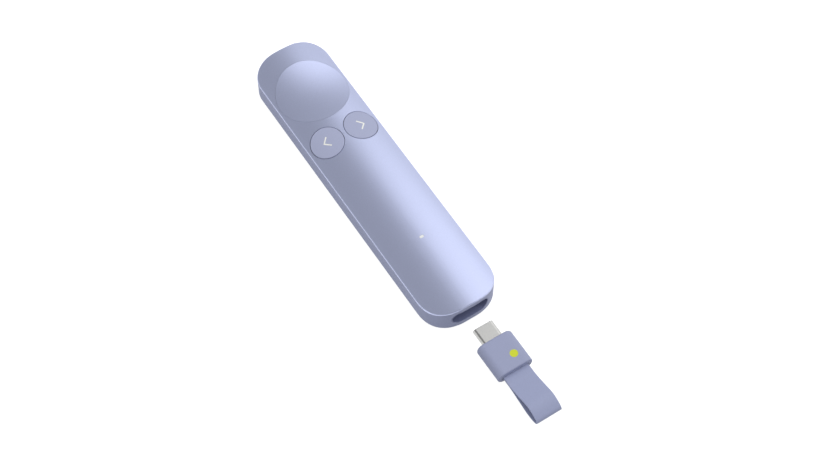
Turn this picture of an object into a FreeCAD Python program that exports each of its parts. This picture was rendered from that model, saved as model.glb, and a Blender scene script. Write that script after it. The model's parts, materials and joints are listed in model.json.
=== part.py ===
import FreeCAD, Part
import math
import os

from FreeCAD import Vector

os.makedirs("parts", exist_ok=True)

# Wireless presentation clicker with a pull-out receiver, in millimetres.
# X runs across the body, +Y to its far end, +Z up. The origin is the middle of the flat base.

# Body shell
body_length = 130.4
body_width = 29.8
body_height = 12.3
crown_rise = 3.45
near_corner_across = 13.4
near_corner_along = 12.6
near_corner_power = 2.38
far_corner_across = 11.3
far_corner_along = 9.9
far_corner_power = 2.2
crown_edge_round = 0.4
base_round = 1.2
cavity_round = 0.8
side_wall = 1.4
floor_thickness = 1.2
cover_thickness = 1.2
cover_rim = 0.5
seam_gap = 0.05
lip_depth = 1.0
lip_width = 0.8
fit_gap = 0.1

# Pointer button: the big dish
dish_side_margin = 1.0
dish_depth = 1.3
dish_to_far_end = 8.6
pad_gap = 0.05
pad_thickness = 1.0
pointer_travel = 0.3
pad_post_radius = 1.0
pad_post_side_inset = 4.9
pad_post_back = 4.0
pad_post_front_inset = 5.3

# Back and next buttons
cap_side_margin = 1.1
cap_bridge = 1.8
cap_gap = 0.2
dish_to_caps = 2.45
cap_rise = 0.2
cap_thickness = 1.3
cap_edge_round = 0.25
cap_travel = 0.3
cap_post_radius = 0.7
cap_post_inset = 2.15
chevron_reach = 2.1
chevron_line = 0.5
chevron_vertex = 1.25
chevron_depth = 0.15
mark_proud = 0.02

# Click switches and stems
switch_side = 4.0
actuator_radius = 1.0
actuator_height = 0.7
actuator_depth = 0.3
stem_radius = 1.4
slide_gap = 0.15
moving_gap = 0.3
post_head_radius_extra = 0.4
post_head_height = 0.5

# Light window
light_from_near_end = 32.3
window_length = 1.7
window_width = 1.0
led_length = 1.6
led_width = 0.8
led_height = 0.6

# Receiver slot and socket
slot_width = 15.0
slot_height = 6.2
slot_axis_height = 6.4
bay_wall = 0.4
bay_back = 0.6
grip_clearance = 0.3
plug_width = 8.25
plug_height = 2.4
plug_length = 6.65
plug_wall = 0.3
plug_slot_width = 6.95
plug_slot_height = 0.95
plug_slot_depth = 5.2
contact_count = 12
contact_pitch = 0.5
contact_width = 0.25
contact_thickness = 0.12
contact_length = 4.2
socket_clearance = 0.06
socket_wall = 0.3
socket_length = 7.3
tongue_thickness = 0.7
tongue_width = 6.5
tongue_length = 4.6
tongue_base = 1.0

# Receiver
grip_length = 14.0
grip_wall = 1.0
grip_near_round = 0.5
grip_far_round = 1.1
stow_gap = 0.2
receiver_travel = 27.7
dot_diameter = 3.0
dot_depth = 0.25
dot_across = 2.5
dot_from_near_face = 5.0
receiver_board_thickness = 0.6
receiver_chip_side = 3.0
receiver_chip_height = 0.7

# Pull strap
strap_width = 10.4
strap_thickness = 0.5
strap_layer_gap = 0.1
strap_reach = 20.4
strap_parting = 3.6
strap_first_rise = 1.2
strap_lift = 2.5
strap_first_droop = 0.9
strap_droop = 1.7
strap_tip_lift = 0.1
strap_tip_radius = 1.4
strap_tip_half_turn = 60
strap_edge_gap = 0.2
pin_radius = 0.5
pin_depth = 3.2

# Main board and what it carries
board_thickness = 0.8
board_end_gap = 0.6
chip_side = 6.0
chip_height = 0.9
sensor_length = 3.0
sensor_width = 2.5
charger_side = 3.0
antenna_length = 3.2
antenna_width = 1.6
antenna_height = 1.1
battery_width = 17.2
battery_clearance = 0.7
battery_corner = 1.2
pad_foam_thickness = 0.25
tab_width = 3.0
tab_thickness = 0.15
tab_reach = 1.6
motor_diameter = 8.0
motor_clearance = 0.5

# Frame and fasteners
frame_thickness = 0.8
frame_side_gap = 0.4
leg_radius = 1.8
leg_inset = 1.2
standoff_radius = 1.7
boss_radius = 1.7
boss_wall_gap = 0.2
cover_screw_radius = 0.8
cover_screw_head_radius = 1.5
cover_screw_head_height = 0.9
cover_screw_recess = 0.25
cover_screw_bite = 3.0
small_screw_radius = 0.6
small_screw_head_radius = 1.2
small_screw_head_height = 0.6
screw_clearance = 0.1
thread_gap = 0.02
driver_slot_width = 0.5
driver_slot_depth = 0.4

# Derived places
near_end = -body_length / 2
far_end = body_length / 2
half_width = body_width / 2
crown_radius = (half_width ** 2 + crown_rise ** 2) / (2 * crown_rise)
crown_axis_height = body_height - crown_radius
dish_radius = half_width - dish_side_margin
dish_y = far_end - dish_to_far_end - dish_radius
cap_diameter = half_width - cap_bridge / 2 - cap_side_margin
cap_pitch = cap_diameter + cap_bridge
cap_post_spacing = cap_diameter - 2 * cap_post_inset
caps_y = dish_y - dish_radius - dish_to_caps - cap_diameter / 2
cap_tilt = math.asin(cap_pitch / 2 / crown_radius)
light_y = near_end + light_from_near_end
grip_width = slot_width - 2 * grip_clearance
grip_height = slot_height - 2 * grip_clearance
bay_depth = grip_length + stow_gap
bay_back_y = near_end + bay_depth
socket_mouth_y = bay_back_y + bay_back
socket_half_height = plug_height / 2 + socket_clearance + socket_wall
socket_half_width = plug_width / 2 + socket_clearance + socket_wall
board_top = slot_axis_height - socket_half_height
board_bottom = board_top - board_thickness
boss_x = half_width - side_wall - boss_wall_gap - boss_radius
board_half_width = boss_x - boss_radius - moving_gap
far_boss_x = far_corner_across / 2
far_boss_y = far_end - far_corner_along / 2
board_far_y = far_boss_y - boss_radius - board_end_gap
frame_inset = side_wall + fit_gap + lip_width + frame_side_gap
frame_half_width = half_width - frame_inset
frame_far_y = board_far_y
frame_near_y = caps_y - cap_diameter / 2 - 2 * leg_radius
mid_boss_y = frame_near_y - boss_radius - 2 * moving_gap
near_boss_y = near_end + near_corner_along + 2 * boss_radius + moving_gap
receiver_face_y = near_end - receiver_travel


def crown_height(x, drop=0.0):
    radius = crown_radius - drop
    return crown_axis_height + math.sqrt(radius ** 2 - x ** 2)


def dish_height(x, y):
    share = (x ** 2 + (y - dish_y) ** 2) / dish_radius ** 2
    return crown_height(x) - dish_depth * (1 - share)


frame_top = dish_height(frame_half_width, dish_y) - pad_thickness - pointer_travel - moving_gap
frame_bottom = frame_top - frame_thickness
switch_top = frame_bottom - moving_gap
actuator_top = switch_top + actuator_height


def box(x0, x1, y0, y1, z0, z1):
    return Part.makeBox(x1 - x0, y1 - y0, z1 - z0, Vector(x0, y0, z0))


def post(radius, x, y, z0, z1):
    return Part.makeCylinder(radius, z1 - z0, Vector(x, y, z0))


def corner_curve(centre, turn, across, along, power, count=9):
    # A smooth corner between an end and a side; its quarter starts at `turn` degrees.
    points = []
    for step in range(count):
        angle = math.radians(turn + 90 * step / (count - 1))
        cos = math.cos(angle)
        sin = math.sin(angle)
        x = across * math.copysign(abs(cos) ** (2 / power), cos)
        y = along * math.copysign(abs(sin) ** (2 / power), sin)
        points.append(centre + Vector(x, y, 0))
    start = Vector(-math.sin(math.radians(turn)), math.cos(math.radians(turn)), 0)
    finish = Vector(-math.sin(math.radians(turn + 90)), math.cos(math.radians(turn + 90)), 0)
    curve = Part.BSplineCurve()
    curve.interpolate(Points=points, InitialTangent=start, FinalTangent=finish)
    return curve.toShape()


def outline(inset):
    # Plan outline of the body, drawn in by `inset` on every side.
    side = half_width - inset
    far = far_end - inset
    near = near_end + inset
    far_across = far_corner_across - inset
    far_along = far_corner_along - inset
    near_across = near_corner_across - inset
    near_along = near_corner_along - inset
    far_x = side - far_across
    far_y = far - far_along
    near_x = side - near_across
    near_y = near + near_along
    edges = [
        Part.makeLine(Vector(side, near_y, 0), Vector(side, far_y, 0)),
        corner_curve(Vector(far_x, far_y, 0), 0, far_across, far_along, far_corner_power),
        Part.makeLine(Vector(far_x, far, 0), Vector(-far_x, far, 0)),
        corner_curve(Vector(-far_x, far_y, 0), 90, far_across, far_along, far_corner_power),
        Part.makeLine(Vector(-side, far_y, 0), Vector(-side, near_y, 0)),
        corner_curve(Vector(-near_x, near_y, 0), 180, near_across, near_along, near_corner_power),
        Part.makeLine(Vector(-near_x, near, 0), Vector(near_x, near, 0)),
        corner_curve(Vector(near_x, near_y, 0), 270, near_across, near_along, near_corner_power),
    ]
    return Part.Wire(edges)


def prism(inset, z0, z1):
    face = Part.Face(outline(inset))
    face.translate(Vector(0, 0, z0))
    return face.extrude(Vector(0, 0, z1 - z0))


def crown(drop):
    # Everything below the crown surface when that surface is sunk by `drop`.
    start = Vector(0, near_end - body_width, crown_axis_height)
    return Part.makeCylinder(crown_radius - drop, body_length + 2 * body_width, start, Vector(0, 1, 0))


def pill(width, height, y0, y1, z=slot_axis_height):
    # An oblong bar along Y with fully round sides.
    radius = height / 2
    reach = width / 2 - radius
    left_low = Vector(-reach, y0, z - radius)
    right_low = Vector(reach, y0, z - radius)
    right_high = Vector(reach, y0, z + radius)
    left_high = Vector(-reach, y0, z + radius)
    edges = [
        Part.makeLine(left_low, right_low),
        Part.Arc(right_low, Vector(reach + radius, y0, z), right_high).toShape(),
        Part.makeLine(right_high, left_high),
        Part.Arc(left_high, Vector(-reach - radius, y0, z), left_low).toShape(),
    ]
    return Part.Face(Part.Wire(edges)).extrude(Vector(0, y1 - y0, 0))


def edges_where(shape, test):
    return [edge for edge in shape.Edges if test(edge.BoundBox)]


def cap_normal(side):
    return Vector(side * math.sin(cap_tilt), 0, math.cos(cap_tilt))


def cap_point(side, along=0.0, down=0.0):
    # A point on the cap's axis, `down` below the crown, moved `along` Y.
    seat = Vector(side * cap_pitch / 2, caps_y + along, crown_height(cap_pitch / 2))
    return seat - cap_normal(side) * down


def tilted(side, radius, top_down, bottom_down, along=0.0):
    # A round bar on the cap's slanting axis, between two depths below the crown.
    base = cap_point(side, along, bottom_down)
    return Part.makeCylinder(radius, bottom_down - top_down, base, cap_normal(side))


def cap_depth_at(height):
    return (crown_height(cap_pitch / 2) - height) / math.cos(cap_tilt)


def actuator_x(side):
    return side * (cap_pitch / 2 - cap_depth_at(actuator_top) * math.sin(cap_tilt))


def pad_posts():
    x = dish_radius - pad_post_side_inset
    back_y = dish_y - pad_post_back
    front_y = dish_y + dish_radius - pad_post_front_inset
    return [(-x, back_y), (x, back_y), (0, front_y)]


def frame_legs():
    near_x = board_half_width - leg_inset
    near_y = frame_near_y + leg_radius
    far_y = frame_far_y - leg_radius
    return [(-near_x, near_y), (near_x, near_y), (-near_x, far_y), (near_x, far_y)]


def board_screw_places():
    x = board_half_width - leg_inset
    y = light_y - window_width - leg_radius
    return [(-x, y), (x, y)]


def cover_screw_places():
    places = []
    for side in (-1, 1):
        places.append((side * far_boss_x, far_boss_y))
        places.append((side * boss_x, mid_boss_y))
        places.append((side * boss_x, near_boss_y))
    return places


def export(name, shape):
    shape = shape.removeSplitter()
    solids = shape.Solids
    print(name, "solids", len(solids), "volume", round(shape.Volume, 2), "valid", shape.isValid())
    body = solids[0] if len(solids) == 1 else Part.makeCompound(solids)
    body.exportStep("parts/" + name + ".step")


def bay_envelope(gap, y1):
    width = slot_width + 2 * (bay_wall + gap)
    height = slot_height + 2 * (bay_wall + gap)
    return pill(width, height, near_end - body_width, y1)


def dish_block():
    # Solid under the dished surface, wider than the button.
    reach = dish_radius * 1.04
    count = 9
    rows = []
    for i in range(count):
        x = -reach + 2 * reach * i / (count - 1)
        row = []
        for j in range(count):
            y = dish_y - reach + 2 * reach * j / (count - 1)
            row.append(Vector(x, y, dish_height(x, y)))
        rows.append(row)
    surface = Part.BSplineSurface()
    surface.interpolate(rows)
    return surface.toShape()


def top_cover():
    shell = prism(0, 0, body_height + 1).common(crown(0))
    lowest = crown_height(half_width) - 0.01
    rounds = edges_where(shell, lambda b: b.ZMin > lowest)
    shell = shell.makeFillet(crown_edge_round, rounds)
    rim = shell.cut(crown(cover_rim))
    plug_inset = side_wall + fit_gap
    plug = prism(plug_inset, 0, body_height + 1).common(crown(cover_rim / 2)).cut(crown(cover_thickness))
    lip = prism(plug_inset, 0, body_height + 1).cut(prism(plug_inset + lip_width, -1, body_height + 2))
    lip = lip.common(crown(cover_rim / 2)).cut(crown(cover_thickness + lip_depth))
    cover = rim.fuse([plug, lip])
    for x, y in cover_screw_places():
        boss = post(boss_radius, x, y, board_bottom, body_height)
        cover = cover.fuse(boss.common(crown(cover_rim)))
    cover = cover.cut(bay_envelope(fit_gap, bay_back_y + bay_back))
    cover = cover.cut(post(dish_radius + pad_gap, 0, dish_y, board_bottom, body_height + 1))
    for side in (-1, 1):
        hole = tilted(side, cap_diameter / 2 + cap_gap, -cap_thickness, cap_depth_at(frame_top))
        cover = cover.cut(hole)
    cover = cover.cut(window_block(fit_gap / 2, board_top, body_height + 1))
    for x, y in cover_screw_places():
        top = board_bottom + cover_screw_bite + moving_gap
        cover = cover.cut(post(cover_screw_radius + thread_gap, x, y, 0, top))
    return cover


def window_block(gap, z0, z1):
    width = window_length + 2 * gap
    height = window_width + 2 * gap
    radius = height / 2
    reach = width / 2 - radius
    middle = box(-reach, reach, light_y - radius, light_y + radius, z0, z1)
    return middle.fuse([post(radius, -reach, light_y, z0, z1), post(radius, reach, light_y, z0, z1)])


def light_pipe():
    return window_block(0, board_top + led_height + fit_gap, body_height + 1).common(crown(0))


def lower_housing():
    shell = prism(0, 0, body_height + 1)
    low = edges_where(shell, lambda b: b.ZMax < 0.01)
    shell = shell.makeFillet(base_round, low)
    shell = shell.common(crown(cover_rim + seam_gap))
    cavity = prism(side_wall, floor_thickness, body_height + 2)
    low = edges_where(cavity, lambda b: b.ZMax < floor_thickness + 0.01)
    shell = shell.cut(cavity.makeFillet(cavity_round, low))
    for x, y in cover_screw_places():
        shell = shell.fuse(post(boss_radius, x, y, floor_thickness / 2, board_bottom - seam_gap))
    for x, y in frame_legs() + board_screw_places():
        shell = shell.fuse(post(standoff_radius, x, y, floor_thickness / 2, board_bottom))
    shell = shell.cut(bay_envelope(0, near_end + near_corner_along / 2))
    shell = shell.cut(post(dish_radius + pad_gap + slide_gap, 0, dish_y, frame_bottom, body_height + 1))
    relief_radius = cap_diameter / 2 + cap_gap + slide_gap
    for side in (-1, 1):
        shell = shell.cut(tilted(side, relief_radius, -cap_thickness, cap_depth_at(frame_top)))
    for x, y in cover_screw_places():
        head_top = cover_screw_recess + cover_screw_head_height
        shell = shell.cut(post(cover_screw_head_radius + screw_clearance, x, y, -1, head_top))
        shell = shell.cut(post(cover_screw_radius + screw_clearance, x, y, 0, board_bottom))
    for x, y in frame_legs() + board_screw_places():
        shell = shell.cut(post(small_screw_radius + thread_gap, x, y, floor_thickness, board_bottom))
    return shell


def receiver_bay():
    lining = bay_envelope(0, bay_back_y + bay_back)
    lining = lining.common(prism(0, 0, body_height))
    lining = lining.cut(pill(slot_width, slot_height, near_end - 1, bay_back_y))
    mouth_width = 2 * (socket_half_width - socket_wall)
    mouth_height = 2 * (socket_half_height - socket_wall)
    return lining.cut(pill(mouth_width, mouth_height, bay_back_y - 1, bay_back_y + bay_back + 1))


def charging_socket_shell():
    back = socket_mouth_y + socket_length
    shell = pill(2 * socket_half_width, 2 * socket_half_height, socket_mouth_y, back)
    inner_width = 2 * (socket_half_width - socket_wall)
    inner_height = 2 * (socket_half_height - socket_wall)
    return shell.cut(pill(inner_width, inner_height, socket_mouth_y - 1, back + 1))


def charging_socket_tongue():
    back = socket_mouth_y + socket_length
    inner_width = 2 * (socket_half_width - socket_wall - thread_gap)
    inner_height = 2 * (socket_half_height - socket_wall - thread_gap)
    base = pill(inner_width, inner_height, back - tongue_base, back)
    low = slot_axis_height - tongue_thickness / 2
    high = slot_axis_height + tongue_thickness / 2
    blade_start = back - tongue_base - tongue_length
    blade = box(-tongue_width / 2, tongue_width / 2, blade_start, back - tongue_base / 2, low, high)
    return base.fuse(blade)


def main_board():
    board = box(-board_half_width, board_half_width, socket_mouth_y, board_far_y, board_bottom, board_top)
    for x, y in frame_legs() + board_screw_places():
        board = board.cut(post(small_screw_radius + screw_clearance, x, y, board_bottom - 1, board_top + 1))
    return board


def inner_frame():
    plate = prism(frame_inset, frame_bottom, frame_top)
    plate = plate.common(box(-body_width, body_width, frame_near_y, frame_far_y, frame_bottom, frame_top))
    for x, y in frame_legs():
        plate = plate.fuse(post(leg_radius, x, y, board_top, frame_top))
    for x, y in frame_legs():
        plate = plate.cut(post(small_screw_radius + screw_clearance, x, y, board_top - 1, frame_top + 1))
    for x, y in pad_posts():
        plate = plate.cut(post(pad_post_radius + slide_gap, x, y, frame_bottom - 1, frame_top + 1))
    plate = plate.cut(post(stem_radius + moving_gap, 0, dish_y, frame_bottom - 1, frame_top + 1))
    above = cap_depth_at(frame_top + 1)
    below = cap_depth_at(frame_bottom - 1)
    for side in (-1, 1):
        plate = plate.cut(tilted(side, stem_radius + moving_gap, above, below))
        for way in (-1, 1):
            bore = tilted(side, cap_post_radius + slide_gap, above, below, way * cap_post_spacing / 2)
            plate = plate.cut(bore)
    return plate


def pointer_button():
    block = dish_block().extrude(Vector(0, 0, -pad_thickness))
    pad = post(dish_radius, 0, dish_y, 0, body_height + 1).common(block)
    pieces = []
    head_top = frame_bottom - fit_gap
    head_bottom = head_top - post_head_height
    for x, y in pad_posts():
        under = dish_height(x, y) - pad_thickness / 2
        pieces.append(post(pad_post_radius, x, y, head_bottom, under))
        pieces.append(post(pad_post_radius + post_head_radius_extra, x, y, head_bottom, head_top))
    under = dish_height(0, dish_y) - pad_thickness / 2
    pieces.append(post(stem_radius, 0, dish_y, actuator_top, under))
    return pad.fuse(pieces)


def is_top_rim(edge, side, middle):
    ends = [vertex.Point - middle for vertex in edge.Vertexes]
    return all(end.dot(cap_normal(side)) > 0 for end in ends) and len(edge.Vertexes) > 0


def button_cap(side):
    # The cap's top is curved like the crown and stands proud of it.
    under = cap_thickness - cap_rise
    cap = tilted(side, cap_diameter / 2, -cap_thickness, under).common(crown(-cap_rise))
    middle = cap_point(side, 0, under / 2)
    rounds = [edge for edge in cap.Edges if is_top_rim(edge, side, middle)]
    cap = cap.makeFillet(cap_edge_round, rounds)
    under = under / 2
    stem = tilted(side, stem_radius, under, cap_depth_at(actuator_top) + stem_radius)
    cap = cap.fuse(stem.cut(box(-body_width, body_width, near_end, far_end, 0, actuator_top)))
    lift = cap_post_radius + post_head_radius_extra
    head_top = cap_depth_at(frame_bottom - fit_gap) + lift * math.tan(cap_tilt)
    for way in (-1, 1):
        along = way * cap_post_spacing / 2
        cap = cap.fuse(tilted(side, cap_post_radius, under, head_top + post_head_height, along))
        cap = cap.fuse(tilted(side, lift, head_top, head_top + post_head_height, along))
    return cap.cut(chevron(side))


def chevron(side):
    # Two bars at right angles that meet on the outer side of the cap, laid into its face.
    bars = []
    half = chevron_line / 2
    length = chevron_reach * math.sqrt(2) + half
    for turn in (-1, 1):
        bar = Part.makeBox(length, chevron_line, 2 * cap_thickness, Vector(-half, -half, -cap_thickness))
        bar.rotate(Vector(0, 0, 0), Vector(0, 0, 1), 45 * turn)
        bars.append(bar)
    mark = bars[0].fuse(bars[1])
    if side > 0:
        mark.rotate(Vector(0, 0, 0), Vector(0, 0, 1), 180)
    mark.translate(Vector(side * chevron_vertex, 0, 0))
    mark.rotate(Vector(0, 0, 0), Vector(0, 1, 0), side * math.degrees(cap_tilt))
    mark.translate(cap_point(side, 0, -cap_rise))
    return mark.common(crown(-cap_rise - mark_proud)).cut(crown(chevron_depth - cap_rise - mark_proud))


def switch_body(x, y):
    half = switch_side / 2
    body = box(x - half, x + half, y - half, y + half, board_top, switch_top)
    depth = actuator_depth + max(pointer_travel, cap_travel) + fit_gap
    return body.cut(post(actuator_radius + slide_gap, x, y, switch_top - depth, switch_top + 1))


def actuator(x, y):
    return post(actuator_radius, x, y, switch_top - actuator_depth, actuator_top)


def battery_ends():
    near = light_y + window_width / 2 + 2 * tab_reach
    far = mid_boss_y
    return near, far


def battery_cell():
    near, far = battery_ends()
    half = battery_width / 2
    bottom = board_top + pad_foam_thickness
    top = crown_height(half, cover_thickness) - battery_clearance
    cell = box(-half, half, near, far, bottom, top)
    upright = edges_where(cell, lambda b: b.ZLength > 1)
    return cell.makeFillet(battery_corner, upright)


def battery_pad():
    near, far = battery_ends()
    half = battery_width / 2 - battery_corner
    top = board_top + pad_foam_thickness
    return box(-half, half, near + battery_corner, far - battery_corner, board_top, top)


def battery_tabs():
    near, far = battery_ends()
    strips = []
    rise = 2 * pad_foam_thickness + tab_thickness
    for side in (-1, 1):
        middle = side * battery_width / 4
        x0 = middle - tab_width / 2
        x1 = middle + tab_width / 2
        foot = box(x0, x1, near - tab_reach, near - tab_thickness, board_top, board_top + tab_thickness)
        upright = box(x0, x1, near - tab_thickness, near, board_top, board_top + rise)
        strips.append(foot.fuse(upright))
    return Part.makeCompound(strips)


def vibration_motor():
    top = board_bottom - motor_clearance
    return post(motor_diameter / 2, 0, caps_y + cap_diameter, floor_thickness, top)


def slotted_head(head_radius, x, y, z0, z1, slot_z):
    head = post(head_radius, x, y, z0, z1)
    half = driver_slot_width / 2
    arm = head_radius * 0.7
    low = min(slot_z, slot_z + driver_slot_depth)
    bars = box(x - arm, x + arm, y - half, y + half, low, low + driver_slot_depth)
    bars = bars.fuse(box(x - half, x + half, y - arm, y + arm, low, low + driver_slot_depth))
    return head.cut(bars)


def cover_screws():
    screws = []
    z0 = cover_screw_recess
    z1 = cover_screw_recess + cover_screw_head_height
    tip = board_bottom + cover_screw_bite
    for x, y in cover_screw_places():
        head = slotted_head(cover_screw_head_radius, x, y, z0, z1, z0)
        screws.append(head.fuse(post(cover_screw_radius, x, y, (z0 + z1) / 2, tip)))
    return Part.makeCompound(screws)


def small_screws(places, seat):
    screws = []
    for x, y in places:
        top = seat + small_screw_head_height
        head = slotted_head(small_screw_head_radius, x, y, seat, top, top - driver_slot_depth)
        bottom = floor_thickness + moving_gap
        screws.append(head.fuse(post(small_screw_radius, x, y, bottom, seat + thread_gap)))
    return Part.makeCompound(screws)


def radio_controller():
    half = chip_side / 2
    y = (dish_y + caps_y) / 2 - half
    return box(-half, half, y - half, y + half, board_top, board_top + chip_height)


def motion_sensor():
    y = dish_y + switch_side
    x0 = -board_half_width / 2 - sensor_length / 2
    return box(x0, x0 + sensor_length, y, y + sensor_width, board_top, board_top + chip_height)


def charging_chip():
    y = socket_mouth_y + socket_length + charger_side
    half = charger_side / 2
    return box(-half, half, y - half, y + half, board_top, board_top + chip_height)


def chip_antenna():
    y = board_far_y - antenna_width - board_end_gap
    half = antenna_length / 2
    return box(-half, half, y, y + antenna_width, board_top, board_top + antenna_height)


def status_led():
    half = led_length / 2
    y0 = light_y - led_width / 2
    return box(-half, half, y0, y0 + led_width, board_top, board_top + led_height)


def tip_centre():
    y = receiver_face_y - strap_reach + strap_thickness / 2 + strap_tip_radius
    return Vector(0, y, slot_axis_height + strap_tip_lift)


def tip_point(radius, angle):
    turn = math.radians(angle)
    return tip_centre() + Vector(0, math.cos(turn), math.sin(turn)) * radius


def strap_run(way, offset, count=13):
    # One layer of the loop, from where the layers part to the bend at the tip,
    # drawn `offset` outside its middle line.
    parting = receiver_face_y - strap_parting
    reach = parting - tip_centre().y
    level = slot_axis_height + way * (strap_thickness + strap_layer_gap) / 2
    rises = (strap_first_rise, strap_lift) if way > 0 else (-strap_first_droop, -strap_droop)
    start_angle = 180 - way * strap_tip_half_turn
    points = [Vector(0, parting, level)]
    points.append(Vector(0, parting - reach * 0.4, level + rises[0]))
    points.append(Vector(0, parting - reach * 0.75, level + rises[1]))
    points.append(tip_point(strap_tip_radius, start_angle))
    turn = math.radians(start_angle)
    finish = Vector(0, -math.sin(turn), math.cos(turn)) * way
    middle = Part.BSplineCurve()
    middle.interpolate(Points=points, InitialTangent=Vector(0, -1, 0), FinalTangent=finish)
    shifted = []
    first = middle.FirstParameter
    span = middle.LastParameter - first
    for step in range(count):
        at = first + span * step / (count - 1)
        along = middle.tangent(at)[0]
        shifted.append(middle.value(at) + Vector(0, along.z, -along.y) * way * offset)
    run = Part.BSplineCurve()
    run.interpolate(Points=shifted, InitialTangent=Vector(0, -1, 0), FinalTangent=finish)
    return run


def strap_profile(offset):
    upper = strap_run(1, offset)
    lower = strap_run(-1, offset)
    radius = strap_tip_radius + offset
    tip = Part.Arc(upper.EndPoint, tip_point(radius, 180), lower.EndPoint)
    root = Part.makeLine(lower.StartPoint, upper.StartPoint)
    return Part.Face(Part.Wire([upper.toShape(), tip.toShape(), lower.toShape(), root]))


def strap_loop():
    outer = strap_profile(strap_thickness / 2).extrude(Vector(strap_width, 0, 0))
    inner = strap_profile(-strap_thickness / 2).extrude(Vector(strap_width, 0, 0))
    loop = outer.cut(inner)
    loop.translate(Vector(-strap_width / 2, 0, 0))
    half = strap_width / 2
    layers = strap_thickness + strap_layer_gap / 2
    pin_y = receiver_face_y + pin_depth
    z = slot_axis_height
    root = box(-half, half, receiver_face_y - strap_parting, pin_y, z - layers, z + layers)
    start = Vector(-half, pin_y, z)
    turn = Part.makeCylinder(pin_radius + strap_thickness, strap_width, start, Vector(1, 0, 0))
    bore = Part.makeCylinder(pin_radius + thread_gap, strap_width, start, Vector(1, 0, 0))
    return loop.fuse([root, turn]).cut(bore)


def strap_pocket():
    # Room in the grip for the strap: a narrow mouth and a wider chamber round the pin.
    z = slot_axis_height
    half = strap_width / 2 + strap_edge_gap
    mouth = strap_thickness + strap_layer_gap / 2 + strap_edge_gap
    chamber = pin_radius + strap_thickness + strap_layer_gap + strap_edge_gap
    pin_y = receiver_face_y + pin_depth
    neck = box(-half, half, receiver_face_y - 1, pin_y, z - mouth, z + mouth)
    room = box(-half, half, pin_y - chamber, pin_y + chamber, z - chamber, z + chamber)
    return neck.fuse(room)


def pin_bar(gap):
    reach = strap_width / 2 + strap_edge_gap + grip_wall / 2
    start = Vector(-reach - gap, receiver_face_y + pin_depth, slot_axis_height)
    return Part.makeCylinder(pin_radius + gap, 2 * (reach + gap), start, Vector(1, 0, 0))


def electronics_room():
    # Hollow in the grip for the board and the back of the plug.
    y0 = receiver_face_y + pin_depth + pin_radius + strap_thickness + 3 * strap_edge_gap + grip_wall / 2
    y1 = receiver_face_y + grip_length - grip_wall
    width = grip_width - 2 * grip_wall
    height = grip_height - 2 * grip_wall
    return width, height, y0, y1


def receiver_dot_disc(radius, low, high):
    x = dot_across
    y = receiver_face_y + dot_from_near_face
    return post(radius, x, y, low, high)


def receiver_grip():
    y0 = receiver_face_y
    y1 = receiver_face_y + grip_length
    grip = pill(grip_width, grip_height, y0, y1)
    near = edges_where(grip, lambda b: b.YMax < y0 + 0.01)
    grip = grip.makeFillet(grip_near_round, near)
    far = edges_where(grip, lambda b: b.YMin > y1 - 0.01)
    grip = grip.makeFillet(grip_far_round, far)
    width, height, room_y0, room_y1 = electronics_room()
    grip = grip.cut(pill(width, height, room_y0, room_y1))
    grip = grip.cut(pill(plug_width + 2 * thread_gap, plug_height + 2 * thread_gap, room_y1 - 1, y1 + 1))
    grip = grip.cut(strap_pocket())
    grip = grip.cut(pin_bar(thread_gap))
    top = slot_axis_height + grip_height / 2
    return grip.cut(receiver_dot_disc(dot_diameter / 2 + thread_gap, top - dot_depth, top + 1))


def receiver_dot():
    top = slot_axis_height + grip_height / 2
    return receiver_dot_disc(dot_diameter / 2, top - dot_depth, top + mark_proud)


def plug_ends():
    tip = receiver_face_y + grip_length + plug_length
    back = receiver_face_y + grip_length - 2 * grip_wall
    return back, tip


def plug_shell():
    back, tip = plug_ends()
    shell = pill(plug_width, plug_height, back, tip)
    rounds = edges_where(shell, lambda b: b.YMin > tip - 0.01)
    shell = shell.makeFillet(plug_wall / 2, rounds)
    inner_width = plug_width - 2 * plug_wall
    inner_height = plug_height - 2 * plug_wall
    return shell.cut(pill(inner_width, inner_height, back - 1, tip + 1))


def plug_insert():
    back, tip = plug_ends()
    width = plug_width - 2 * (plug_wall + thread_gap)
    height = plug_height - 2 * (plug_wall + thread_gap)
    core = pill(width, height, back, tip - plug_wall)
    half = plug_slot_width / 2
    low = slot_axis_height - plug_slot_height / 2
    high = slot_axis_height + plug_slot_height / 2
    core = core.cut(box(-half, half, tip - plug_slot_depth, tip + 1, low, high))
    for contact in contact_bars(thread_gap):
        core = core.cut(contact)
    return core


def contact_bars(gap):
    # Two facing rows of contacts, set into the walls of the plug's slot.
    back, tip = plug_ends()
    y1 = tip - 2 * plug_wall
    y0 = y1 - contact_length
    bars = []
    half = contact_width / 2 + gap
    for way in (-1, 1):
        wall = slot_axis_height + way * plug_slot_height / 2
        z0 = min(wall, wall + way * contact_thickness) - gap * (way < 0)
        z1 = max(wall, wall + way * contact_thickness) + gap * (way > 0)
        for index in range(contact_count):
            x = (index - (contact_count - 1) / 2) * contact_pitch
            bars.append(box(x - half, x + half, y0 - gap, y1 + gap, z0, z1))
    return bars


def receiver_board():
    width, height, y0, y1 = electronics_room()
    back, tip = plug_ends()
    half = width / 2 - grip_wall
    top = slot_axis_height - thread_gap
    board = box(-half, half, y0 + fit_gap, back, top - receiver_board_thickness, top)
    return board


def receiver_chip():
    width, height, y0, y1 = electronics_room()
    back, tip = plug_ends()
    middle = (y0 + back) / 2
    side = min(receiver_chip_side, back - y0 - 4 * fit_gap)
    top = slot_axis_height - thread_gap
    return box(-side / 2, side / 2, middle - side / 2, middle + side / 2, top, top + receiver_chip_height)


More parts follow.
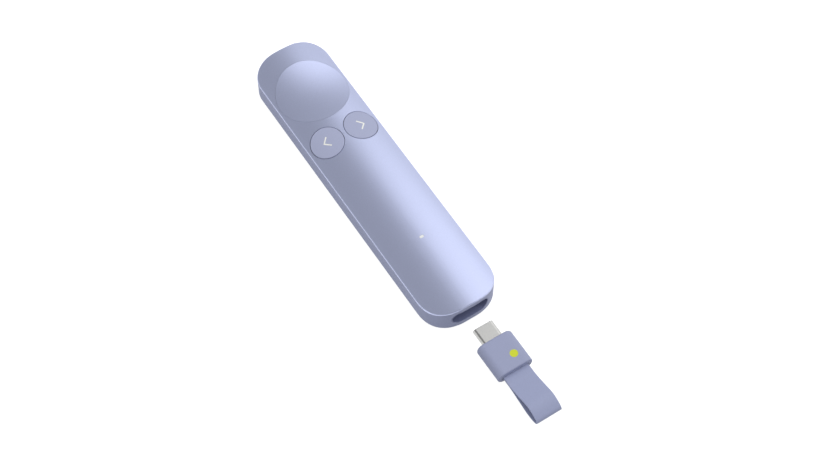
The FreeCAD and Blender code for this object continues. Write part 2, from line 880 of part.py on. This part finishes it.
export("top_cover", top_cover())
export("lower_housing", lower_housing())
export("receiver_bay", receiver_bay())
export("light_pipe", light_pipe())
export("charging_socket_shell", charging_socket_shell())
export("charging_socket_tongue", charging_socket_tongue())
export("main_board", main_board())
export("inner_frame", inner_frame())
export("battery_cell", battery_cell())
export("battery_pad", battery_pad())
export("battery_tabs", battery_tabs())
export("vibration_motor", vibration_motor())
export("cover_screws", cover_screws())
export("board_screws", small_screws(board_screw_places(), board_top))
export("frame_screws", small_screws(frame_legs(), frame_top))
export("radio_controller", radio_controller())
export("motion_sensor", motion_sensor())
export("charging_chip", charging_chip())
export("chip_antenna", chip_antenna())
export("status_led", status_led())
export("pointer_button", pointer_button())
export("pointer_switch", switch_body(0, dish_y))
export("pointer_actuator", actuator(0, dish_y))
for name, side in (("back", -1), ("next", 1)):
    export(name + "_button", button_cap(side))
    export(name + "_chevron", chevron(side))
    export(name + "_switch", switch_body(actuator_x(side), caps_y))
    export(name + "_actuator", actuator(actuator_x(side), caps_y))
export("receiver_grip", receiver_grip())
export("receiver_dot", receiver_dot())
export("plug_shell", plug_shell())
export("plug_insert", plug_insert())
export("plug_contacts", Part.makeCompound(contact_bars(0)))
export("receiver_board", receiver_board())
export("receiver_chip", receiver_chip())
export("strap_loop", strap_loop())
export("strap_pin", pin_bar(0))
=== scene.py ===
import json
import math

import bmesh
import bpy
from mathutils import Matrix, Vector


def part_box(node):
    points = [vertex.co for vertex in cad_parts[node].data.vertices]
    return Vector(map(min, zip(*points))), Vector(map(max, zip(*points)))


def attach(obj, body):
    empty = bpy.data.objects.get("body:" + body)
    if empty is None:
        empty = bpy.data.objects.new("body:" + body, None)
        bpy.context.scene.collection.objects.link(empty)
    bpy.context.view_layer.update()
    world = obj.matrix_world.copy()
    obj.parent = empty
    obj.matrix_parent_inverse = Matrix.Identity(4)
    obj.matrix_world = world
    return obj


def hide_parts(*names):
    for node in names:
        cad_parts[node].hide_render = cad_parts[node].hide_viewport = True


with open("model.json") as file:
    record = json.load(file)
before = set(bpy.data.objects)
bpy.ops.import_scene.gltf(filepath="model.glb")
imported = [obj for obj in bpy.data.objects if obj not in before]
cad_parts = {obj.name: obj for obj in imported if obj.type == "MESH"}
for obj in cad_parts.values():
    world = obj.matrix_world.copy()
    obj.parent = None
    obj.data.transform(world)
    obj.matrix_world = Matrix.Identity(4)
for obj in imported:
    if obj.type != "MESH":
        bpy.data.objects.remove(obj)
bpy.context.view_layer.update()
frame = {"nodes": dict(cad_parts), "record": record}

mm = 0.001
print("frame loaded:", len(frame["nodes"]), "nodes")


# Camera, set up like the photograph
cameraSetup = {
    "eye": (-0.1834, -0.3057, 0.5778),
    "azimuth": -33.43,
    "elevation": 59.71,
    "roll": 0.71,
    "focalPixels": 1829.8,
    "imageWidth": 828,
    "sensorWidth": 36.0,
    "nearestSeen": 0.01,
}


def addCamera(setup):
    azimuth = math.radians(setup["azimuth"])
    elevation = math.radians(setup["elevation"])
    roll = math.radians(setup["roll"])
    back = Vector((math.sin(azimuth) * math.cos(elevation),
                   -math.cos(azimuth) * math.cos(elevation),
                   math.sin(elevation)))
    level = Vector((math.cos(azimuth), math.sin(azimuth), 0))
    upright = back.cross(level)
    right = level * math.cos(roll) + upright * math.sin(roll)
    up = upright * math.cos(roll) - level * math.sin(roll)
    data = bpy.data.cameras.new("camera")
    data.sensor_width = setup["sensorWidth"]
    data.lens = setup["focalPixels"] * setup["sensorWidth"] / setup["imageWidth"]
    data.clip_start = setup["nearestSeen"]
    camera = bpy.data.objects.new("camera", data)
    turn = Matrix((right, up, back)).transposed().to_4x4()
    camera.matrix_world = Matrix.Translation(Vector(setup["eye"])) @ turn
    bpy.context.collection.objects.link(camera)
    bpy.context.scene.camera = camera


addCamera(cameraSetup)


# Lamps, world and floor
lampSetup = {
    "softbox": {"towards": (0.61, 0.03, 0.79), "distance": 0.9, "size": 1.04, "watts": 3.9},
    "sideFill": {"towards": (-0.90, 0.10, 0.42), "distance": 1.2, "size": 0.5, "watts": 1.2},
}
worldSetup = {"ambient": 0.78, "backdrop": 1.0, "ceiling": 0.34, "ceilingFrom": 0.3, "ceilingTo": 0.62}
floorSetup = {"size": 4.0, "below": 0.3, "shade": 0.42, "lift": 0.86}


def addLamp(name, setup):
    data = bpy.data.lights.new(name, "AREA")
    data.shape = "DISK"
    data.size = setup["size"]
    data.energy = setup["watts"]
    lamp = bpy.data.objects.new(name, data)
    towards = Vector(setup["towards"]).normalized()
    lamp.location = towards * setup["distance"]
    lamp.rotation_euler = towards.to_track_quat("Z", "Y").to_euler()
    bpy.context.collection.objects.link(lamp)


def seenDirectly(tree):
    # 1 for rays that show the backdrop itself, 0 for the light it throws on the object
    path = tree.nodes.new("ShaderNodeLightPath")
    first = tree.nodes.new("ShaderNodeMath")
    first.operation = "MAXIMUM"
    second = tree.nodes.new("ShaderNodeMath")
    second.operation = "MAXIMUM"
    tree.links.new(path.outputs["Is Camera Ray"], first.inputs[0])
    tree.links.new(path.outputs["Is Glossy Ray"], first.inputs[1])
    tree.links.new(first.outputs[0], second.inputs[0])
    tree.links.new(path.outputs["Is Transmission Ray"], second.inputs[1])
    return second.outputs[0]


def backdropStrength(tree, setup):
    # White to the camera; in reflections it dims overhead, like a studio under a dark ceiling
    place = tree.nodes.new("ShaderNodeTexCoord")
    split = tree.nodes.new("ShaderNodeSeparateXYZ")
    fade = tree.nodes.new("ShaderNodeMapRange")
    fade.inputs["From Min"].default_value = setup["ceilingFrom"]
    fade.inputs["From Max"].default_value = setup["ceilingTo"]
    fade.inputs["To Min"].default_value = setup["backdrop"]
    fade.inputs["To Max"].default_value = setup["ceiling"]
    path = tree.nodes.new("ShaderNodeLightPath")
    brightest = tree.nodes.new("ShaderNodeMath")
    brightest.operation = "MAXIMUM"
    tree.links.new(place.outputs["Generated"], split.inputs[0])
    tree.links.new(split.outputs["Z"], fade.inputs["Value"])
    tree.links.new(fade.outputs[0], brightest.inputs[0])
    tree.links.new(path.outputs["Is Camera Ray"], brightest.inputs[1])
    return brightest.outputs[0]


def setWorld(setup):
    world = bpy.data.worlds.new("studio")
    world.use_nodes = True
    tree = world.node_tree
    tree.nodes.clear()
    ambient = tree.nodes.new("ShaderNodeBackground")
    ambient.inputs["Strength"].default_value = setup["ambient"]
    backdrop = tree.nodes.new("ShaderNodeBackground")
    tree.links.new(backdropStrength(tree, setup), backdrop.inputs["Strength"])
    mix = tree.nodes.new("ShaderNodeMixShader")
    output = tree.nodes.new("ShaderNodeOutputWorld")
    tree.links.new(seenDirectly(tree), mix.inputs[0])
    tree.links.new(ambient.outputs[0], mix.inputs[1])
    tree.links.new(backdrop.outputs[0], mix.inputs[2])
    tree.links.new(mix.outputs[0], output.inputs["Surface"])
    bpy.context.scene.world = world


def addFloor(setup):
    size = setup["size"]
    mesh = bpy.data.meshes.new("floor")
    low = -setup["below"] * mm
    corners = [(-size, -size, low), (size, -size, low), (size, size, low), (-size, size, low)]
    mesh.from_pydata(corners, [], [(0, 1, 2, 3)])
    floor = bpy.data.objects.new("floor", mesh)
    bpy.context.collection.objects.link(floor)
    material = bpy.data.materials.new("paleFloor")
    material.use_nodes = True
    tree = material.node_tree
    tree.nodes.clear()
    paint = tree.nodes.new("ShaderNodeBsdfDiffuse")
    shade = setup["shade"]
    paint.inputs["Color"].default_value = (shade, shade, shade, 1)
    glow = tree.nodes.new("ShaderNodeEmission")
    strength = tree.nodes.new("ShaderNodeMath")
    strength.operation = "MULTIPLY"
    strength.inputs[1].default_value = setup["lift"]
    tree.links.new(seenDirectly(tree), strength.inputs[0])
    tree.links.new(strength.outputs[0], glow.inputs["Strength"])
    both = tree.nodes.new("ShaderNodeAddShader")
    output = tree.nodes.new("ShaderNodeOutputMaterial")
    tree.links.new(paint.outputs[0], both.inputs[0])
    tree.links.new(glow.outputs[0], both.inputs[1])
    tree.links.new(both.outputs[0], output.inputs["Surface"])
    mesh.materials.append(material)


for lampName, lamp in lampSetup.items():
    addLamp(lampName, lamp)
setWorld(worldSetup)
addFloor(floorSetup)
bpy.context.scene.view_settings.view_transform = "Standard"
print("camera, lamps and floor set")


# Finishes; one without a "metal" value is not metal
surfaceSetup = {
    "grainDetail": 3, "toneFrom": 0.3, "toneTo": 0.7,
    "colorSpread": 0.03, "roughSpread": 0.06, "grainHeight": 0.05, "specular": 0.5,
}
finishes = {
    "crown_finish": {"color": (0.53, 0.575, 0.80), "rough": 0.37, "metal": 0.68, "grain": 2600, "bump": 0.02},
    "housing_finish": {"color": (0.355, 0.39, 0.58),
        "rough": 0.5, "specular": 0.2, "grain": 2600, "bump": 0.02},
    "button_finish": {"color": (0.405, 0.435, 0.61),
        "rough": 0.65, "specular": 0.3, "grain": 3200, "bump": 0.03},
    "grip_finish": {"color": (0.34, 0.37, 0.54),
        "rough": 0.6, "specular": 0.3, "grain": 3200, "bump": 0.03},
    "strap_finish": {"color": (0.345, 0.38, 0.565),
        "rough": 0.5, "specular": 0.35, "grain": 2200, "bump": 0.06},
    "bay_plastic": {"color": (0.19, 0.215, 0.38), "rough": 0.5, "grain": 2400, "bump": 0.04},
    "light_diffuser": {"color": (0.88, 0.89, 0.88), "rough": 0.4, "grain": 3000, "bump": 0.01},
    "chevron_white": {"color": (0.90, 0.90, 0.84), "rough": 0.5, "grain": 4000, "bump": 0.02},
    "dot_lime": {"color": (0.64, 0.70, 0.01), "rough": 0.5, "grain": 4000, "bump": 0.02},
    "contact_steel": {"color": (0.54, 0.54, 0.53), "rough": 0.4, "metal": 1.0, "grain": 1800, "bump": 0.02},
    "screw_steel": {"color": (0.32, 0.32, 0.34), "rough": 0.35, "metal": 1.0, "grain": 2400, "bump": 0.04},
    "contact_gold": {"color": (0.83, 0.60, 0.25), "rough": 0.25, "metal": 1.0, "grain": 3000, "bump": 0.01},
    "nickel": {"color": (0.6, 0.59, 0.56), "rough": 0.35, "metal": 1.0, "grain": 2600, "bump": 0.03},
    "black_core": {"color": (0.02, 0.02, 0.022), "rough": 0.45, "grain": 2600, "bump": 0.03},
    "board_laminate": {"color": (0.015, 0.11, 0.05), "rough": 0.35, "grain": 900, "bump": 0.02},
    "frame_plastic": {"color": (0.045, 0.045, 0.05), "rough": 0.5, "grain": 2200, "bump": 0.05},
    "switch_plastic": {"color": (0.07, 0.07, 0.075), "rough": 0.45, "grain": 2600, "bump": 0.03},
    "chip_resin": {"color": (0.02, 0.02, 0.022), "rough": 0.55, "grain": 3000, "bump": 0.05},
    "antenna_ceramic": {"color": (0.72, 0.72, 0.69), "rough": 0.4, "grain": 2600, "bump": 0.02},
    "cell_pouch": {"color": (0.62, 0.63, 0.64), "rough": 0.4, "metal": 0.8, "grain": 700, "bump": 0.08},
    "foam": {"color": (0.025, 0.025, 0.027), "rough": 0.9, "grain": 1500, "bump": 0.25},
}


def makeFinish(name, look):
    # Moulded or plated surface: a fine grain that moves colour, roughness and height a little
    material = bpy.data.materials.new(name)
    material.use_nodes = True
    tree = material.node_tree
    shader = tree.nodes["Principled BSDF"]
    shader.inputs["Metallic"].default_value = look.get("metal", 0.0)
    shader.inputs["Specular IOR Level"].default_value = look.get("specular", surfaceSetup["specular"])
    place = tree.nodes.new("ShaderNodeTexCoord")
    grain = tree.nodes.new("ShaderNodeTexNoise")
    grain.inputs["Scale"].default_value = look["grain"]
    grain.inputs["Detail"].default_value = surfaceSetup["grainDetail"]
    tree.links.new(place.outputs["Object"], grain.inputs["Vector"])
    tone = tree.nodes.new("ShaderNodeMapRange")
    tone.inputs["From Min"].default_value = surfaceSetup["toneFrom"]
    tone.inputs["From Max"].default_value = surfaceSetup["toneTo"]
    tree.links.new(grain.outputs["Fac"], tone.inputs["Value"])
    ramp = tree.nodes.new("ShaderNodeMix")
    ramp.data_type = "RGBA"
    for end, share in (("A", 1 - surfaceSetup["colorSpread"]), ("B", 1 + surfaceSetup["colorSpread"])):
        ramp.inputs[end].default_value = [value * share for value in look["color"]] + [1]
    tree.links.new(tone.outputs[0], ramp.inputs["Factor"])
    tree.links.new(ramp.outputs["Result"], shader.inputs["Base Color"])
    gloss = tree.nodes.new("ShaderNodeMapRange")
    gloss.inputs["To Min"].default_value = look["rough"] * (1 - surfaceSetup["roughSpread"])
    gloss.inputs["To Max"].default_value = look["rough"] * (1 + surfaceSetup["roughSpread"])
    tree.links.new(grain.outputs["Fac"], gloss.inputs["Value"])
    tree.links.new(gloss.outputs[0], shader.inputs["Roughness"])
    bump = tree.nodes.new("ShaderNodeBump")
    bump.inputs["Strength"].default_value = look["bump"]
    bump.inputs["Distance"].default_value = surfaceSetup["grainHeight"] * mm
    tree.links.new(grain.outputs["Fac"], bump.inputs["Height"])
    tree.links.new(bump.outputs["Normal"], shader.inputs["Normal"])
    return material


materials = {name: makeFinish(name, look) for name, look in finishes.items()}
for part in frame["record"]["subparts"]:
    node = frame["nodes"][part["node"]]
    for holder in node.material_slots:
        holder.material = materials[part["material_slot"]]
print("finishes made:", len(materials))


# Pull strap: one soft band that goes round the pin in the grip and folds back at its tip
strapSetup = {
    "width": 10.4, "thickness": 0.5, "edgeRound": 0.2, "edgeFlat": 0.15,
    "layerGap": 0.1, "reach": 20.4, "parting": 3.6, "firstAt": 0.4, "secondAt": 0.75,
    "firstRise": 1.2, "lift": 2.5, "firstDroop": 0.9, "droop": 1.7,
    "tipLift": 0.1, "tipRadius": 1.4, "tipHalfTurn": 60,
    "pinDepth": 3.2, "pinTurn": 0.77, "neck": 0.9,
    "cornerSteps": 4, "runSteps": 12, "turnSteps": 16,
}


def easedRun(start, startWay, end, endWay, steps):
    # A smooth run from one point to the next that leaves and arrives along the given ways
    points = []
    for step in range(steps):
        t = step / steps
        points.append(start * (2 * t ** 3 - 3 * t ** 2 + 1) + startWay * (t ** 3 - 2 * t ** 2 + t)
                      + end * (3 * t ** 2 - 2 * t ** 3) + endWay * (t ** 3 - t ** 2))
    return points


def throughPoints(points, firstWay, lastWay, steps):
    lengths = [(b - a).length for a, b in zip(points, points[1:])]
    ways = [firstWay]
    for i in range(1, len(points) - 1):
        ways.append((points[i + 1] - points[i - 1]) / (lengths[i - 1] + lengths[i]))
    ways.append(lastWay)
    run = []
    for i, length in enumerate(lengths):
        run += easedRun(points[i], ways[i] * length, points[i + 1], ways[i + 1] * length, steps)
    return run


def arcRun(centre, radius, startAngle, endAngle, steps):
    run = []
    for step in range(steps):
        angle = math.radians(startAngle + (endAngle - startAngle) * step / steps)
        run.append(centre + Vector((math.cos(angle), math.sin(angle))) * radius)
    return run


def strapMiddle(setup, face, level):
    # The band's middle line in (y, z), once round: out along the top, round the tip,
    # back below and round the pin
    half = (setup["thickness"] + setup["layerGap"]) / 2
    parting = face - setup["parting"]
    tipFrom = face - setup["reach"] + setup["thickness"] / 2 + setup["tipRadius"]
    tip = Vector((tipFrom, level + setup["tipLift"]))
    span = parting - tip.x
    firstAt = parting - span * setup["firstAt"]
    secondAt = parting - span * setup["secondAt"]
    out = Vector((-1, 0))
    back = Vector((1, 0))
    top = 180 - setup["tipHalfTurn"]
    bottom = 180 + setup["tipHalfTurn"]
    tipTop = arcRun(tip, setup["tipRadius"], top, bottom, 1)[0]
    tipBottom = arcRun(tip, setup["tipRadius"], bottom, top, 1)[0]
    topWay = Vector((-math.sin(math.radians(top)), math.cos(math.radians(top))))
    bottomWay = Vector((-math.sin(math.radians(bottom)), math.cos(math.radians(bottom))))
    upper = [Vector((parting, level + half)),
             Vector((firstAt, level + half + setup["firstRise"])),
             Vector((secondAt, level + half + setup["lift"])),
             tipTop]
    lower = [tipBottom,
             Vector((secondAt, level - half - setup["droop"])),
             Vector((firstAt, level - half - setup["firstDroop"])),
             Vector((parting, level - half))]
    neck = face + setup["neck"]
    pin = Vector((face + setup["pinDepth"], level))
    turn = Vector((0, setup["pinTurn"]))
    stretch = pin.x - neck
    run = throughPoints(upper, out, topWay, setup["runSteps"])
    run += arcRun(tip, setup["tipRadius"], top, bottom, setup["turnSteps"])
    run += throughPoints(lower, bottomWay, back, setup["runSteps"])
    run += [lower[-1]]
    run += easedRun(Vector((neck, level - half)), back * stretch, pin - turn, back * stretch,
                    setup["runSteps"])
    run += arcRun(pin, setup["pinTurn"], -90, 90, setup["turnSteps"])
    run += easedRun(pin + turn, out * stretch, Vector((neck, level + half)), out * stretch,
                    setup["runSteps"])
    run += [Vector((neck, level + half))]
    return run


def strapSection(setup):
    # Cross-section of the band as (x, height over its middle), with softened edges
    across = setup["width"] / 2 - setup["edgeRound"]
    up = setup["thickness"] / 2 - setup["edgeRound"]
    flat = across - setup["edgeFlat"]
    section = []
    for turn, signX, signZ in ((0, 1, 1), (90, -1, 1), (180, -1, -1), (270, 1, -1)):
        corner = []
        for step in range(setup["cornerSteps"] + 1):
            angle = math.radians(turn + 90 * step / setup["cornerSteps"])
            corner.append((signX * across + math.cos(angle) * setup["edgeRound"],
                           signZ * up + math.sin(angle) * setup["edgeRound"]))
        support = (signX * flat, signZ * setup["thickness"] / 2)
        section += corner + [support] if signX == signZ else [support] + corner
    return section


def makeStrap(setup):
    low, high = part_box("receiver_grip")
    face = low[1] / mm
    level = (low[2] + high[2]) / 2 / mm
    middle = strapMiddle(setup, face, level)
    section = strapSection(setup)
    shape = bmesh.new()
    rings = []
    for i, point in enumerate(middle):
        along = (middle[(i + 1) % len(middle)] - middle[i - 1]).normalized()
        outward = Vector((along.y, -along.x))
        ring = []
        for x, height in section:
            spot = point + outward * height
            ring.append(shape.verts.new((x * mm, spot.x * mm, spot.y * mm)))
        rings.append(ring)
    for ring, following in zip(rings, rings[1:] + rings[:1]):
        for i in range(len(section)):
            j = (i + 1) % len(section)
            shape.faces.new((ring[i], ring[j], following[j], following[i]))
    bmesh.ops.recalc_face_normals(shape, faces=shape.faces)
    mesh = bpy.data.meshes.new("pull_strap")
    shape.to_mesh(mesh)
    shape.free()
    mesh.shade_smooth()
    mesh.materials.append(materials["strap_finish"])
    strap = bpy.data.objects.new("pull_strap", mesh)
    bpy.context.collection.objects.link(strap)
    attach(strap, "receiver")
    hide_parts("strap_loop")


makeStrap(strapSetup)
print("strap made")
